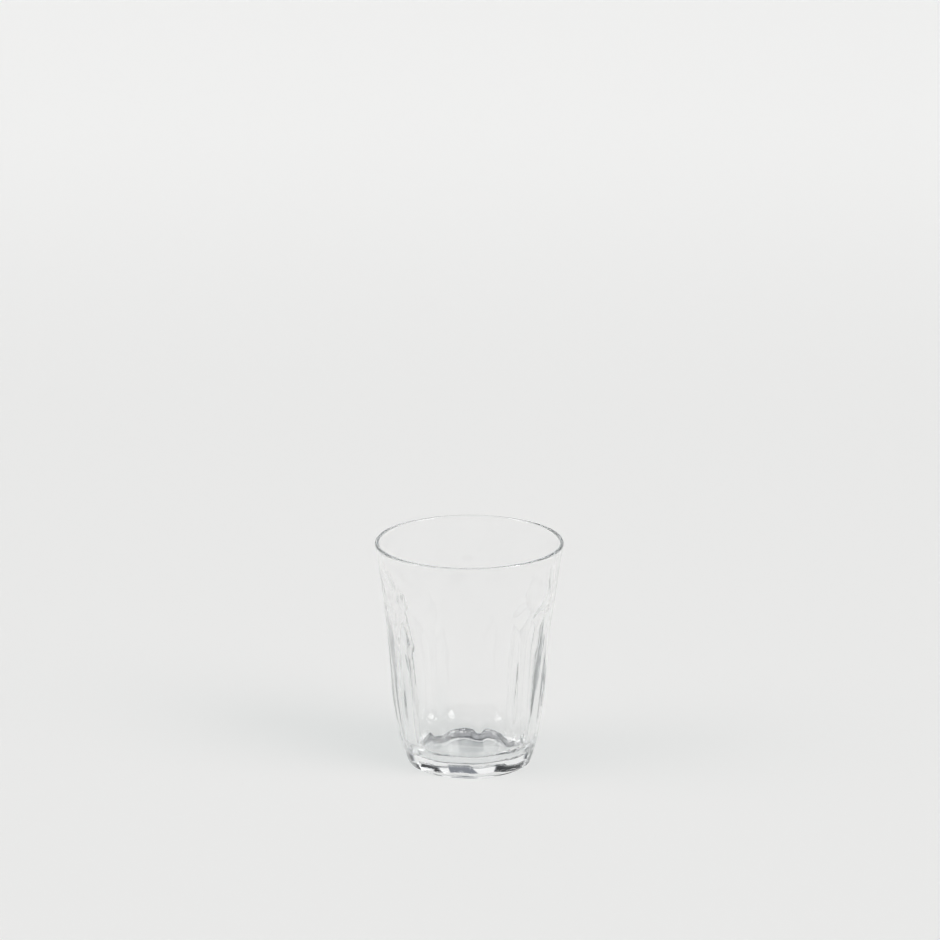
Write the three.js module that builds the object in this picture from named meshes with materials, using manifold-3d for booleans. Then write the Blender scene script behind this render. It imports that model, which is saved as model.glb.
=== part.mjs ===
// Pressed drinking tumbler: one moulding of clear glass, with flat panels under a plain round band.
// Millimetres, Z up. The origin is the middle of the resting plane, and the opening faces up.
import * as THREE from 'three';
import { mergeVertices } from 'three/addons/utils/BufferGeometryUtils.js';
import Module from 'manifold-3d';

// Overall size
const glassHeight = 94;
const rimRadius = 38.7;
const lipThickness = 1.7;

// Outside of the ribs and of the plain band: heel bevel, taper up to the knee, then a flare that opens upward
const footRadius = 25.6;
const heelHeight = 8.6;
const heelRadius = 28.4;
const bodyHeight = 27;
const bodyRadius = 31.9;
const flareSlope = 0.045;
const footEdge = 0.4;
const heelEdge = 0.8;
const kneeEdge = 5;

// Flat panels: their number and width, the band left plain above them, and the rise of each arched top
const panelCount = 11;
const firstRibAngle = 7.2;
const panelWidth = 15.7;
const bandHeight = 23;
const archRise = 14;

// Depth of the flats below the round of the ribs, where the panels narrow towards the foot
const footFlatDepth = 0.25;
const heelFlatDepth = 0.5;
const waistFlatDepth = 0.6;
const waistRise = 6.5;
const flatRise = 6;

// Inside: wall at the knee, rounded corner and flat floor
const bodyWall = 5.1;
const innerCorner = 8;
const floorHeight = 5.8;

// Underside: a flat resting ring round a shallow hollow
const ringWidth = 3.2;
const hollowDepth = 0.9;

// Fineness of the facets
const facetsPerPanel = 8;
const curveSteps = 5;
const flareSteps = 7;
const archSteps = 8;
const cutMargin = 3;
const mergeDistance = 1e-4;

const lipRadius = lipThickness / 2;
const bandTop = glassHeight - lipRadius;
const archCrown = glassHeight - bandHeight;
const archSpringing = archCrown - archRise;

// Radius of the flare at a height: a parabola through the body and the rim
function flareRadius(height) {
  const rise = bandTop - bodyHeight;
  const bend = (rimRadius - bodyRadius - flareSlope * rise) / rise ** 2;
  const above = height - bodyHeight;
  return bodyRadius + flareSlope * above + bend * above ** 2;
}

// Draws the path up to a corner and rounds it off, on its way from one point to the other
function roundCorner(path, from, corner, to, size) {
  const before = new THREE.Vector2().subVectors(from, corner).setLength(size).add(corner);
  const after = new THREE.Vector2().subVectors(to, corner).setLength(size).add(corner);
  path.lineTo(before.x, before.y);
  path.quadraticCurveTo(corner.x, corner.y, after.x, after.y);
}

// Section of the whole moulding before the panels are pressed in, from the underside round to the inner floor
function revolvedSection() {
  const hollowRadius = footRadius - footFlatDepth - footEdge - ringWidth;
  const ringInside = new THREE.Vector2(hollowRadius, 0);
  const foot = new THREE.Vector2(footRadius, 0);
  const heel = new THREE.Vector2(heelRadius, heelHeight);
  const knee = new THREE.Vector2(bodyRadius, bodyHeight);
  const flareStart = bodyHeight + kneeEdge;
  const flare = new THREE.Vector2(flareRadius(flareStart), flareStart);
  const path = new THREE.Path();
  path.moveTo(0, hollowDepth);
  path.quadraticCurveTo(hollowRadius / 2, hollowDepth, ringInside.x, ringInside.y);
  roundCorner(path, ringInside, foot, heel, footEdge);
  roundCorner(path, foot, heel, knee, heelEdge);
  roundCorner(path, heel, knee, flare, kneeEdge);
  for (let step = 1; step <= flareSteps; step += 1) {
    const height = THREE.MathUtils.lerp(flareStart, bandTop, step / flareSteps);
    path.lineTo(flareRadius(height), height);
  }
  path.absarc(rimRadius - lipRadius, bandTop, lipRadius, 0, Math.PI, false);

  const innerDraft = (rimRadius - lipThickness - bodyRadius + bodyWall) / (bandTop - bodyHeight);
  const cornerHeight = floorHeight + innerCorner;
  const wallAtCorner = rimRadius - lipThickness - innerDraft * (bandTop - cornerHeight);
  const cornerRadius = wallAtCorner - innerCorner * Math.hypot(1, innerDraft);
  path.absarc(cornerRadius, cornerHeight, innerCorner, -Math.atan(innerDraft), -Math.PI / 2, true);
  path.lineTo(0, floorHeight);
  return path.getPoints(curveSteps);
}

// Half width of a panel at a height: constant up to the springing, then half an ellipse up to the crown
function panelHalfWidth(height) {
  const above = Math.max(0, (height - archSpringing) / archRise);
  return (panelWidth / 2) * Math.sqrt(Math.max(0, 1 - above ** 2));
}

// Distance of the flat from the axis at a height, which leaves a panel of that width on the round flare
function flatDistance(height) {
  return Math.sqrt(flareRadius(height) ** 2 - panelHalfWidth(height) ** 2);
}

// Side outline of the glass that a panel takes away: heel facet, foot, curve to the body, flat and arch run-out
function panelOutline() {
  const outside = rimRadius + cutMargin;
  const footFlat = footRadius - footFlatDepth;
  const heelFlat = heelRadius - heelFlatDepth;
  const facetSlope = (heelFlat - footFlat) / heelHeight;
  const waistHeight = heelHeight + waistRise;
  const taper = (bodyRadius - heelRadius) / (bodyHeight - heelHeight);
  const waistFlat = heelRadius + taper * waistRise - waistFlatDepth;
  const waistSlope = (waistFlat - heelFlat) / waistRise;
  const flatStart = bodyHeight + flatRise;
  const reach = (flatStart - waistHeight) / 2;
  const shape = new THREE.Shape();
  shape.moveTo(footFlat - facetSlope * cutMargin, -cutMargin);
  shape.lineTo(heelFlat, heelHeight);
  shape.lineTo(waistFlat, waistHeight);
  shape.bezierCurveTo(
    waistFlat + waistSlope * reach,
    waistHeight + reach,
    flatDistance(flatStart) - flareSlope * reach,
    flatStart - reach,
    flatDistance(flatStart),
    flatStart,
  );
  shape.lineTo(flatDistance(archSpringing), archSpringing);
  for (let step = 1; step <= archSteps; step += 1) {
    const height = archSpringing + archRise * Math.sin(((step / archSteps) * Math.PI) / 2);
    shape.lineTo(flatDistance(height), height);
  }
  shape.lineTo(outside, archCrown);
  shape.lineTo(outside, -cutMargin);
  shape.closePath();
  return shape;
}

// Merged, closed triangles of a geometry as a solid that can be cut
function toSolid(wasm, geometry) {
  geometry.deleteAttribute('normal');
  geometry.deleteAttribute('uv');
  const merged = mergeVertices(geometry, mergeDistance);
  const corners = merged.index.array;
  const kept = [];
  for (let i = 0; i < corners.length; i += 3) {
    const [a, b, c] = corners.slice(i, i + 3);
    if (a !== b && b !== c && c !== a) {
      kept.push(a, b, c);
    }
  }
  const vertProperties = new Float32Array(merged.attributes.position.array);
  return new wasm.Manifold(new wasm.Mesh({ numProp: 3, vertProperties, triVerts: new Uint32Array(kept) }));
}

// A solid as a geometry with its normals
function toGeometry(solid) {
  const { vertProperties, triVerts } = solid.getMesh();
  const geometry = new THREE.BufferGeometry();
  geometry.setAttribute('position', new THREE.BufferAttribute(vertProperties, 3));
  geometry.setIndex(new THREE.BufferAttribute(triVerts, 1));
  geometry.computeVertexNormals();
  return geometry;
}

// The round moulding, whose facets start at the front and are turned on to the first rib
function roundBlank(wasm) {
  const blank = new THREE.LatheGeometry(revolvedSection(), panelCount * facetsPerPanel);
  blank.rotateX(Math.PI / 2);
  blank.rotateZ(THREE.MathUtils.degToRad(firstRibAngle));
  return toSolid(wasm, blank);
}

// Angle of a rib about the axis; the first is measured from the front, which faces -Y
function ribAngle(index) {
  return THREE.MathUtils.degToRad(firstRibAngle - 90) + (index * 2 * Math.PI) / panelCount;
}

// The glass taken away in front of one flat, wide enough to reach past the ribs on both sides
function panelCut(wasm, index) {
  const depth = 2 * (rimRadius + cutMargin) * Math.tan(Math.PI / panelCount);
  const cut = new THREE.ExtrudeGeometry(panelOutline(), { depth, bevelEnabled: false, curveSegments: curveSteps });
  cut.translate(0, 0, -depth / 2);
  cut.rotateX(Math.PI / 2);
  cut.rotateZ(ribAngle(index + 0.5));
  return toSolid(wasm, cut);
}

async function tumblerGeometry() {
  const wasm = await Module();
  wasm.setup();
  let glass = roundBlank(wasm);
  for (let index = 0; index < panelCount; index += 1) {
    glass = glass.subtract(panelCut(wasm, index));
  }
  return toGeometry(glass);
}

const clearGlass = new THREE.MeshStandardMaterial({
  name: 'clear_soda_lime_glass',
  color: 0xe9f0ee,
  roughness: 0.03,
  metalness: 0,
  transparent: true,
  opacity: 0.35,
});

const tumbler = new THREE.Mesh(await tumblerGeometry(), clearGlass);
tumbler.name = 'tumbler';

const part = new THREE.Group();
part.name = 'water_glass';
part.add(tumbler);

export default part;
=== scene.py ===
import math

import bpy
import numpy as np
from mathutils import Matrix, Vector


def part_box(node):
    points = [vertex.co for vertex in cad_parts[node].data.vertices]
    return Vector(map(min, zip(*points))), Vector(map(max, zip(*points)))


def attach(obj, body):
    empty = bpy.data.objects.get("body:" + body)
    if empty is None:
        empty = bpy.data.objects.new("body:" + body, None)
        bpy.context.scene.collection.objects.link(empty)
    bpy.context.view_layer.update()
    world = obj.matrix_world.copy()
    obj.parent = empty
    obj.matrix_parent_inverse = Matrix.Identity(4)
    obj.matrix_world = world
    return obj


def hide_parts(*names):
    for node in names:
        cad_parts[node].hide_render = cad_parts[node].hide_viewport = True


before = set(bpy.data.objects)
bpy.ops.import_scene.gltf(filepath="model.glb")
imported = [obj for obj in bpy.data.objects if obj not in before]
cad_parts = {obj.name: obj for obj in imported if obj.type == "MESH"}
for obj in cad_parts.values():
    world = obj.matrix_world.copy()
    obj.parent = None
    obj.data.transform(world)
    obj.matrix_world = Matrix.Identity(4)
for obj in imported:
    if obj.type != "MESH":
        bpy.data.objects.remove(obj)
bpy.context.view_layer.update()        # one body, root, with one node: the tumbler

scene = bpy.context.scene
scene.view_settings.view_transform = "Standard"
millimetre = 0.001


def linear(hexColour):
    # sRGB hex to the linear colour that shaders take
    parts = [int(hexColour[i:i + 2], 16) / 255 for i in (1, 3, 5)]
    return [p / 12.92 if p <= 0.04045 else ((p + 0.055) / 1.055) ** 2.4 for p in parts] + [1.0]


def addNode(tree, kind, settings=(), links=()):
    # settings name a property or an input socket, links join an output to an input of the new node
    node = tree.nodes.new(kind)
    for name, value in dict(settings).items():
        if isinstance(name, str) and hasattr(node, name):
            setattr(node, name, value)
        else:
            node.inputs[name].default_value = value
    for name, output in dict(links).items():
        tree.links.new(output, node.inputs[name])
    return node


def newMaterial(name):
    material = bpy.data.materials.new(name)
    material.use_nodes = True
    material.node_tree.nodes.clear()
    return material, material.node_tree


def addObject(name, data):
    thing = bpy.data.objects.new(name, data)
    scene.collection.objects.link(thing)
    return thing


# Camera

cameraView = dict(
    imageWidth=940,          # pixels
    focalPixels=3418,        # fitted to the rim and foot ellipses
    sensor=36.0,             # mm
    location=(0.0003, -1.341, 0.496),    # metres
    lookDown=15.5,           # degrees below the horizon
)


def makeCamera(view):
    data = bpy.data.cameras.new("camera")
    data.sensor_width = view["sensor"]
    data.lens = view["focalPixels"] / view["imageWidth"] * view["sensor"]
    camera = addObject("camera", data)
    camera.location = view["location"]
    camera.rotation_euler = (math.radians(90 - view["lookDown"]), 0, 0)
    scene.camera = camera


makeCamera(cameraView)
print("camera set")


# Tumbler

tumblerShape = dict(         # millimetres; rim and height come from the frame
    lip=1.7,
    footRadius=25.6, heelHeight=8.6, heelRadius=28.4,
    bodyHeight=27.0, bodyRadius=31.9, flareSlope=0.045,
    footEdge=0.4, heelEdge=0.4, kneeEdge=4.5,
    heelReach=2.0, kneeReach=6.0, kneeEnd=12.0,      # from heel and knee to where the rounding changes
    panels=11, firstRib=7.2, panelWidth=15.7, bandHeight=23.0, archRise=14.0,
    footFlat=0.25, heelFlat=0.5, waistFlat=0.6, waistRise=6.5, flatRise=6.0,
    bodyWall=5.1, innerCorner=8.0, floorHeight=5.8,
    ringWidth=3.2, hollowDepth=0.9,
    heelSoftness=0.10, waistSoftness=0.22, ribSoftness=0.06,     # how far pressed edges are melted round
    softRise=6.0, softFade=14.0,             # heights above heel and knee over which that changes
    chillWave=0.02, chillSpacing=9.0,        # slow waves of the inside, from the plunger's chill
    chillSway=1.3, chillSwayHeight=45.0,     # they lean from side to side on the way up
    crossWave=0.7, crossFewer=3, crossHeight=38.0,       # weaker, wider waves that lean across them
    streakWave=0.003, streakSpacing=2.6,     # finer upright streaks beside them
    streakSway=1.5, streakSwayHeight=40.0,
    streakPatches=3, streakPatchHeight=25.0,     # stronger and weaker places round the wall
    sagWave=0.18, sagSpacing=16.0, sagHeight=28.0,       # slow sag of the upper wall while still soft
    sagSway=2.0, sagShift=1.7, sagSides=2,
    sagZone=(45.0, 65.0, 84.0, 92.0),        # heights where the sag begins, is full, lessens and ends
    lipCalm=12.0,            # depth below the lip at which the waves are full
    columnsPerPanel=64, evenColumns=0.45,    # that share is spread evenly, the rest crowds on the ribs
    meanSteps=17,            # samples that round an edge
    hollowRows=16, ringRows=4, footRows=6,   # rows of points on each stretch of the section
    heelRows=15, heelEdgeRows=14, waistRows=51, flatRows=17, archRows=51, bandRows=15,
    lipRows=18, insideRows=59, cornerRows=26, floorRows=16,
    heelZone=1.2, kneeZone=8.0, springZone=2.0, crownZone=1.5,   # how far the finer stretches reach
)


def flareRadius(size, z):
    # a parabola from the knee to the rim
    rise = size["bandTop"] - size["bodyHeight"]
    bend = (size["rim"] - size["bodyRadius"] - size["flareSlope"] * rise) / rise ** 2
    above = z - size["bodyHeight"]
    return size["bodyRadius"] + size["flareSlope"] * above + bend * above ** 2


def runningMean(size, outline, z, reach):
    # rounds the corners of an outline that lie within reach of a height
    offsets = np.linspace(-1, 1, size["meanSteps"])
    return sum(outline(size, z + offset * reach) for offset in offsets) / len(offsets)


def sharpRib(size, z):
    # heel bevel, taper and flare
    heel, knee = size["heelHeight"], size["bodyHeight"]
    bevelSlope = (size["heelRadius"] - size["footRadius"]) / heel
    low = np.interp(z, [0, heel, knee], [size["footRadius"], size["heelRadius"], size["bodyRadius"]])
    low = low + np.minimum(z, 0) * bevelSlope
    return np.where(z > knee, flareRadius(size, z), low)


def ribRadius(size, z):
    # crisp at the heel, widely rounded at the knee and exact on the flare
    heel, knee, near = size["heelHeight"], size["bodyHeight"], size["kneeReach"]
    reach = np.interp(
        z,
        [heel + size["heelReach"], knee - near, knee + near, knee + size["kneeEnd"]],
        [size["heelEdge"], size["kneeEdge"], size["kneeEdge"], 0],
    )
    return runningMean(size, sharpRib, z, reach)


def panelHalfWidth(size, z):
    # constant up to the springing, then half an ellipse up to the crown
    above = np.clip((z - size["springing"]) / size["archRise"], 0, 1)
    return size["panelWidth"] / 2 * np.sqrt(1 - above ** 2)


def flatOnFlare(size, z):
    # distance of the flat that leaves a panel of its width on the round flare
    over = np.maximum(z - size["crown"], 0)
    return np.sqrt(flareRadius(size, z) ** 2 - panelHalfWidth(size, z) ** 2) + over


def sharpFlat(size, z):
    # heel facet, foot, a curve out to the body, then the flat and its arched run-out
    heel, knee = size["heelHeight"], size["bodyHeight"]
    waist, start = heel + size["waistRise"], knee + size["flatRise"]
    taper = (size["bodyRadius"] - size["heelRadius"]) / (knee - heel)
    atFoot = size["footRadius"] - size["footFlat"]
    atHeel = size["heelRadius"] - size["heelFlat"]
    atWaist = size["heelRadius"] + taper * size["waistRise"] - size["waistFlat"]
    atStart = flatOnFlare(size, np.array(start))
    facetSlope = (atHeel - atFoot) / heel
    waistSlope = (atWaist - atHeel) / size["waistRise"]
    low = np.interp(z, [0, heel, waist], [atFoot, atHeel, atWaist]) + np.minimum(z, 0) * facetSlope
    span = start - waist
    t = np.clip((z - waist) / span, 0, 1)
    curve = (atWaist * (2 * t ** 3 - 3 * t ** 2 + 1) + waistSlope * span * (t ** 3 - 2 * t ** 2 + t)
             + atStart * (3 * t ** 2 - 2 * t ** 3) + size["flareSlope"] * span * (t ** 3 - t ** 2))
    return np.where(z < waist, low, np.where(z < start, curve, flatOnFlare(size, z)))


def meltTogether(a, b, softness):
    # the lesser of two distances, with the edge between them melted round
    share = np.clip(0.5 + 0.5 * (b - a) / softness, 0, 1)
    return b * (1 - share) + a * share - softness * share * (1 - share)


def outsideRadius(size, z, local):
    # the nearer of rib and flat, crisp at the heel and on the ribs and softer at the waist
    heel, knee = size["heelHeight"], size["bodyHeight"]
    softness = np.interp(
        z,
        [heel, heel + size["softRise"], knee, knee + size["softFade"]],
        [size["heelSoftness"], size["waistSoftness"], size["waistSoftness"], size["ribSoftness"]],
    )
    flat = runningMean(size, sharpFlat, z, size["heelEdge"]) / np.cos(local)
    return meltTogether(ribRadius(size, z), flat, softness)


def columnAngles(size):
    # angles from the front towards +X, and the same from the middle of each panel
    count, even = size["columnsPerPanel"], size["evenColumns"]
    u = np.arange(count) / count * 2 - 1
    local = math.pi / size["panels"] * (even * u + (1 - even) * np.sin(u * math.pi / 2))
    pitch = 2 * math.pi / size["panels"]
    middles = math.radians(size["firstRib"]) + pitch * (np.arange(size["panels"]) + 0.5)
    return (middles[:, None] + local).ravel(), np.tile(local, size["panels"])


def insideWaves(size, angle, z, radius):
    # small unevenness of the pressed inside, in whole waves round the wall
    around = 2 * math.pi * radius
    slow = np.round(around / size["chillSpacing"])
    fine = np.round(around / size["streakSpacing"])
    few = np.round(around / size["sagSpacing"])
    chill = np.sin(slow * angle + size["chillSway"] * np.sin(z / size["chillSwayHeight"]))
    cross = np.sin((slow - size["crossFewer"]) * angle - z / size["crossHeight"])
    streak = np.sin(fine * angle + size["streakSway"] * np.sin(z / size["streakSwayHeight"]))
    patches = 1 + np.sin(size["streakPatches"] * angle + z / size["streakPatchHeight"])
    turn = 2 * math.pi * z / size["sagHeight"]
    sagRound = np.sin(few * angle + size["sagSway"] * np.sin(turn))
    sagUp = np.sin(turn + size["sagShift"] * np.sin(size["sagSides"] * angle))
    upper = np.interp(z, size["sagZone"], [0, 1, 1, 0])
    return (size["chillWave"] * (chill + size["crossWave"] * cross)
            + size["streakWave"] * streak * patches
            + size["sagWave"] * upper * sagRound * sagUp)


def stepsTo(start, end, count):
    # even steps from start to end, without start itself
    return np.linspace(start, end, count + 1)[1:]


def underRows(size, local, allRound):
    # shallow hollow, flat resting ring and the rounded edge of the foot
    edge = size["footEdge"]
    foot = outsideRadius(size, edge, local)
    hollow = size["footRadius"] - size["footFlat"] - edge - size["ringWidth"]
    rows = []
    for share in stepsTo(0, 1, size["hollowRows"]):
        rows.append((hollow * share * allRound, size["hollowDepth"] * (1 - share ** 2) * allRound))
    for share in stepsTo(0, 1, size["ringRows"]):
        rows.append((hollow + (foot - edge - hollow) * share, 0 * allRound))
    for turn in stepsTo(0, math.pi / 2, size["footRows"])[:-1]:
        rows.append((foot - edge * (1 - math.sin(turn)), edge * (1 - math.cos(turn)) * allRound))
    return rows


def outsideRows(size, local, allRound):
    # panels, ribs and plain band, with more rows where the shape turns, then the lip
    stretches = [
        (size["heelHeight"] - size["heelZone"], size["heelRows"]),
        (size["heelHeight"] + size["heelZone"], size["heelEdgeRows"]),
        (size["bodyHeight"] + size["kneeZone"], size["waistRows"]),
        (size["springing"] - size["springZone"], size["flatRows"]),
        (size["crown"] + size["crownZone"], size["archRows"]),
        (size["bandTop"], size["bandRows"]),
    ]
    heights = [size["footEdge"]]
    for height, count in stretches:
        heights += stepsTo(heights[-1], height, count).tolist()
    rows = [(outsideRadius(size, z, local), z * allRound) for z in heights]
    lip = size["lip"] / 2
    for turn in stepsTo(0, math.pi, size["lipRows"])[:-1]:
        radius = size["rim"] - lip + lip * math.cos(turn)
        rows.append((radius * allRound, (size["bandTop"] + lip * math.sin(turn)) * allRound))
    return rows


def insideRows(size, angle, allRound):
    # inner cone, rounded corner and flat floor
    top, corner = size["bandTop"], size["innerCorner"]
    inside = size["rim"] - size["lip"]
    draft = (inside - size["bodyRadius"] + size["bodyWall"]) / (top - size["bodyHeight"])
    cornerHeight = size["floorHeight"] + corner
    cornerRadius = inside - draft * (top - cornerHeight) - corner * math.hypot(1, draft)
    wallFoot = cornerHeight - corner * math.sin(math.atan(draft))
    rows = []
    for z in np.linspace(top, wallFoot, size["insideRows"], endpoint=False):
        radius = inside - draft * (top - z)
        grown = np.clip((top - z) / size["lipCalm"], 0, 1)
        rows.append((radius + grown * insideWaves(size, angle, z, radius), z * allRound))
    waves = insideWaves(size, angle, wallFoot, inside - draft * (top - wallFoot))
    for turn in np.linspace(math.atan(draft), math.pi / 2, size["cornerRows"]):
        radius = cornerRadius + (corner + waves) * math.cos(turn)
        rows.append((radius, (cornerHeight - corner * math.sin(turn)) * allRound))
    for share in stepsTo(1, 0, size["floorRows"])[:-1]:
        rows.append((cornerRadius * share * allRound, size["floorHeight"] * allRound))
    return rows


def makeTumbler(shape):
    # rows of points from under the foot over the lip to the inner floor, joined by faces
    low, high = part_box("tumbler")
    height = high[2] / millimetre
    size = dict(shape)
    size["rim"] = (high[0] - low[0]) / 2 / millimetre
    size["bandTop"] = height - size["lip"] / 2
    size["crown"] = height - size["bandHeight"]
    size["springing"] = size["crown"] - size["archRise"]

    angle, local = columnAngles(size)
    allRound = np.ones_like(angle)
    rows = underRows(size, local, allRound)
    rows += outsideRows(size, local, allRound)
    rows += insideRows(size, angle, allRound)
    radius = np.array([row[0] for row in rows])
    heights = np.array([row[1] for row in rows])
    points = np.stack([radius * np.sin(angle), -radius * np.cos(angle), heights], axis=-1)
    points = points.reshape(-1, 3) * millimetre
    middles = [(0, 0, size["hollowDepth"] * millimetre), (0, 0, size["floorHeight"] * millimetre)]

    columns = len(angle)
    start = np.arange(columns)
    after = (start + 1) % columns
    faces = []
    for row in range(len(rows) - 1):
        here, above = row * columns, (row + 1) * columns
        faces += np.stack([here + start, here + after, above + after, above + start], axis=-1).tolist()
    under, floor = len(points), len(points) + 1
    last = (len(rows) - 1) * columns
    faces += [[under, b, a] for a, b in zip(start.tolist(), after.tolist())]
    faces += [[floor, last + a, last + b] for a, b in zip(start.tolist(), after.tolist())]

    mesh = bpy.data.meshes.new("tumbler_glass")
    mesh.from_pydata(points.tolist() + middles, [], faces)
    mesh.polygons.foreach_set("use_smooth", [True] * len(mesh.polygons))
    mesh.update()
    return addObject("tumbler_glass", mesh)


pressedGlass = dict(         # soda-lime glass, pressed in a mould and fire-polished
    colour="#fefefe",
    ior=1.52,
    depthColour="#dfe7e6",   # iron in the melt: a faint cool green where the glass is deep
    depthDensity=2.5,        # per metre
    shadow="#f9fafa",        # what a surface of it leaves of a lamp's light
    polish=(0.0, 0.012),     # least and most roughness of the fire polish
    polishPatch=14.0,        # mm, patches of better and worse polish
    skin=1.6,                # mm across the faint upright streaks of the mould's skin
    skinRun=9.0,             # their length over their width
    skinDepth=0.012,         # share of a millimetre
)


def makePressedGlass(look):
    # clear, sharp highlights from the fire polish, with the mould's faint skin bending them a little
    material, tree = newMaterial("pressed_soda_lime_glass")
    place = addNode(tree, "ShaderNodeTexCoord")
    patches = addNode(tree, "ShaderNodeTexNoise",
                      {"Scale": 1 / (look["polishPatch"] * millimetre), "Detail": 2.0},
                      {"Vector": place.outputs["Object"]})
    polish = addNode(tree, "ShaderNodeMapRange",
                     {"To Min": look["polish"][0], "To Max": look["polish"][1]},
                     {"Value": patches.outputs["Fac"]})
    stretch = addNode(tree, "ShaderNodeMapping", {"Scale": (1, 1, 1 / look["skinRun"])},
                      {"Vector": place.outputs["Object"]})
    skin = addNode(tree, "ShaderNodeTexNoise", {"Scale": 1 / (look["skin"] * millimetre), "Detail": 1.0},
                   {"Vector": stretch.outputs["Vector"]})
    bump = addNode(tree, "ShaderNodeBump", {"Strength": look["skinDepth"], "Distance": millimetre},
                   {"Height": skin.outputs["Fac"]})
    glass = addNode(tree, "ShaderNodeBsdfPrincipled",
                    {"Base Color": linear(look["colour"]), "IOR": look["ior"], "Transmission Weight": 1.0},
                    {"Roughness": polish.outputs["Result"], "Normal": bump.outputs["Normal"]})
    clear = addNode(tree, "ShaderNodeBsdfTransparent", {"Color": linear(look["shadow"])})
    path = addNode(tree, "ShaderNodeLightPath")
    mix = addNode(tree, "ShaderNodeMixShader", (),
                  {0: path.outputs["Is Shadow Ray"], 1: glass.outputs[0], 2: clear.outputs[0]})
    depth = addNode(tree, "ShaderNodeVolumeAbsorption",
                    {"Color": linear(look["depthColour"]), "Density": look["depthDensity"]})
    addNode(tree, "ShaderNodeOutputMaterial", (), {"Surface": mix.outputs[0], "Volume": depth.outputs[0]})
    return material


tumbler = makeTumbler(tumblerShape)
tumbler.data.materials.append(makePressedGlass(pressedGlass))
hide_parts("tumbler")
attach(tumbler, "root")
print("tumbler made with", len(tumbler.data.vertices), "points")


# Floor

tableTop = dict(             # painted board with a matt finish
    half=12.0,               # metres
    drop=0.0001,             # metres under the foot, so that the two faces don't meet
    # painted light: the near colour is painted shade, the far colour painted brighter light
    nearShadedColour="#eeeeed", farLitColour="#f6f6f5",
    nearEdge=0.45, farEdge=1.6,      # metres behind the glass between which it is painted paler: painted light, brighter further back
    roughness=0.7, specular=0.2,
)


def makeFloor(look):
    # matt white paint: a pale ground that takes the soft shadows and hardly shines, with painted light that
    # makes it paler further back
    half = look["half"]
    mesh = bpy.data.meshes.new("floor")
    corners = [(-half, -half, 0), (half, -half, 0), (half, half, 0), (-half, half, 0)]
    mesh.from_pydata(corners, [], [(0, 1, 2, 3)])
    floor = addObject("floor", mesh)
    floor.location.z = -look["drop"]
    material, tree = newMaterial("matt_white_table_top")
    place = addNode(tree, "ShaderNodeTexCoord")
    split = addNode(tree, "ShaderNodeSeparateXYZ", (), {"Vector": place.outputs["Object"]})
    # painted light: the floor is painted paler further back to stand for light that falls brighter there
    depth = addNode(tree, "ShaderNodeMapRange",
                    {"interpolation_type": "SMOOTHSTEP",
                     "From Min": look["nearEdge"], "From Max": look["farEdge"]},
                    {"Value": split.outputs["Y"]})
    colour = addNode(tree, "ShaderNodeMix",
                     {"data_type": "RGBA", 6: linear(look["nearShadedColour"]), 7: linear(look["farLitColour"])},
                     {0: depth.outputs["Result"]})
    surface = addNode(tree, "ShaderNodeBsdfPrincipled",
                      {"Roughness": look["roughness"], "Specular IOR Level": look["specular"]},
                      {"Base Color": colour.outputs[2]})
    addNode(tree, "ShaderNodeOutputMaterial", (), {"Surface": surface.outputs[0]})
    mesh.materials.append(material)


makeFloor(tableTop)
print("floor laid")


# Light

room = dict(                 # heights in degrees above the horizon
    backdrop=0.857,          # level of the pale backdrop, up to where a level camera sees it
    backdropTop=(6.0, 9.0),
    walls=0.02,              # level of the dim walls above it
    wallColour="#b9c6dc",    # their cool tone, which fades out towards a neutral level
    paleColour="#ffffff",
    neutralLevel=0.8,
    ceiling=0.55,            # level of the pale ceiling
    ceilingEdge=(62.0, 76.0),
)

windows = [                  # bearing from +Y towards +X, width, ends and soft edge in degrees
    dict(name="right_window", bearing=118, width=24, low=22, high=60, edge=2, level=6.0),
    dict(name="left_window", bearing=-103, width=20, low=26, high=58, edge=2, level=5.0),
    dict(name="back_window_right", bearing=39, width=8, low=10, high=40, edge=1, level=0.95),
    dict(name="back_window_middle", bearing=16, width=10, low=10, high=40, edge=1, level=0.95),
    dict(name="back_wall", bearing=5.5, width=11, low=9, high=40, edge=1, level=0.3),    # dim, between them
    dict(name="back_window_left", bearing=-9, width=18, low=10, high=40, edge=1, level=0.95),
]


def addWindow(tree, bearing, rise, window):
    # a soft-edged bright patch of the room
    half, edge = window["width"] / 2, window["edge"]
    across = addNode(tree, "ShaderNodeMath",
                     {"operation": "SUBTRACT", 1: math.radians(window["bearing"])}, {0: bearing})
    turned = addNode(tree, "ShaderNodeMath", {"operation": "COSINE"}, {0: across.outputs[0]})
    light = addNode(tree, "ShaderNodeMapRange",
                    {"label": window["name"], "interpolation_type": "SMOOTHSTEP", "To Max": window["level"],
                     "From Min": math.cos(math.radians(half + edge)),
                     "From Max": math.cos(math.radians(half - edge))},
                    {"Value": turned.outputs[0]}).outputs["Result"]
    for height, inward in ((window["low"], edge), (window["high"], -edge)):
        mask = addNode(tree, "ShaderNodeMapRange",
                       {"interpolation_type": "SMOOTHSTEP",
                        "From Min": math.sin(math.radians(height - inward)),
                        "From Max": math.sin(math.radians(height + inward))},
                       {"Value": rise})
        light = addNode(tree, "ShaderNodeMath", {"operation": "MULTIPLY"},
                        {0: light, 1: mask.outputs["Result"]}).outputs[0]
    return light


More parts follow.
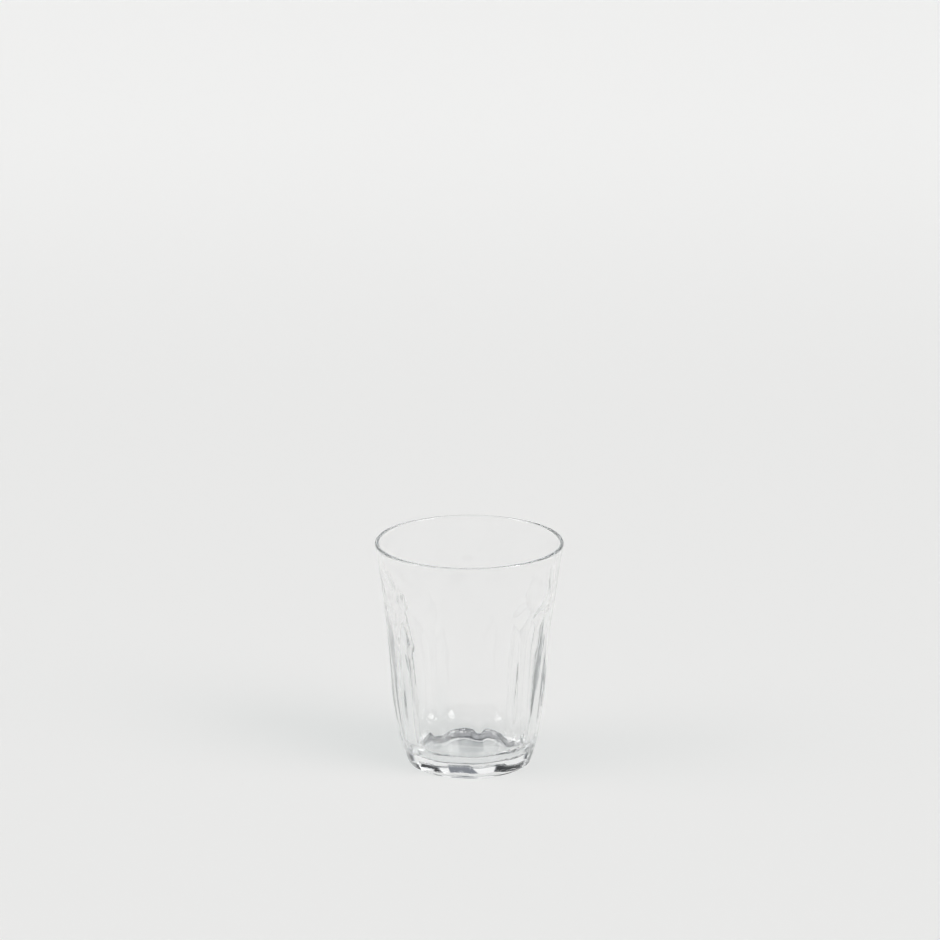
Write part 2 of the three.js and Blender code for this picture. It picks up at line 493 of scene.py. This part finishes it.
def makeWorld(look):
    # seen by the camera and in the glass; the table is lit by the lamps alone
    world = bpy.data.worlds.new("studio_room")
    scene.world = world
    world.use_nodes = True
    world.cycles_visibility.diffuse = False
    tree = world.node_tree
    tree.nodes.clear()
    place = addNode(tree, "ShaderNodeTexCoord")
    split = addNode(tree, "ShaderNodeSeparateXYZ", (), {"Vector": place.outputs["Generated"]})
    bearing = addNode(tree, "ShaderNodeMath", {"operation": "ARCTAN2"},
                      {0: split.outputs["X"], 1: split.outputs["Y"]}).outputs[0]
    rise = split.outputs["Z"]      # sine of the height above the horizon
    low, high = [math.sin(math.radians(angle)) for angle in look["backdropTop"]]
    light = addNode(tree, "ShaderNodeMapRange",
                    {"interpolation_type": "SMOOTHSTEP", "From Min": low, "From Max": high,
                     "To Min": look["backdrop"], "To Max": look["walls"]},
                    {"Value": rise}).outputs["Result"]
    low, high = [math.sin(math.radians(angle)) for angle in look["ceilingEdge"]]
    ceiling = addNode(tree, "ShaderNodeMapRange",
                      {"interpolation_type": "SMOOTHSTEP", "From Min": low, "From Max": high,
                       "To Max": look["ceiling"]},
                      {"Value": rise}).outputs["Result"]
    for patch in [ceiling] + [addWindow(tree, bearing, rise, window) for window in windows]:
        light = addNode(tree, "ShaderNodeMath", {"operation": "ADD"}, {0: light, 1: patch}).outputs[0]
    pale = addNode(tree, "ShaderNodeMapRange", {"From Max": look["neutralLevel"]}, {"Value": light})
    tone = addNode(tree, "ShaderNodeMix",
                   {"data_type": "RGBA", 6: linear(look["wallColour"]), 7: linear(look["paleColour"])},
                   {0: pale.outputs["Result"]})
    ground = addNode(tree, "ShaderNodeBackground", (), {"Color": tone.outputs[2], "Strength": light})
    addNode(tree, "ShaderNodeOutputWorld", (), {"Surface": ground.outputs[0]})


makeWorld(room)
print("room set with", len(windows), "windows and walls")

lamps = [                    # soft light on the table from the sides of the two large windows, in degrees
    dict(name="right_light", bearing=119, height=38, spread=36, strength=3.05),
    dict(name="left_light", bearing=-102, height=40, spread=36, strength=1.8),
]


def makeLamp(lamp):
    # lights the table and never shows in the glass
    data = bpy.data.lights.new(lamp["name"], "SUN")
    data.angle = math.radians(lamp["spread"])
    data.energy = lamp["strength"]
    data.cycles.use_multiple_importance_sampling = False
    thing = addObject(lamp["name"], data)
    bearing, height = math.radians(lamp["bearing"]), math.radians(lamp["height"])
    level = math.cos(height)
    thing.location = (level * math.sin(bearing), level * math.cos(bearing), math.sin(height))
    thing.rotation_euler = (Vector() - thing.location).to_track_quat("-Z", "Y").to_euler()
    thing.visible_glossy = False
    thing.visible_transmission = False


for lamp in lamps:
    makeLamp(lamp)
print("lamps lit")

lightBounces = 64            # light runs round many times inside the thick base and the lip
scene.cycles.max_bounces = lightBounces
scene.cycles.transmission_bounces = lightBounces
scene.cycles.glossy_bounces = lightBounces
scene.cycles.transparent_max_bounces = lightBounces
scene.cycles.caustics_reflective = False
scene.cycles.caustics_refractive = False
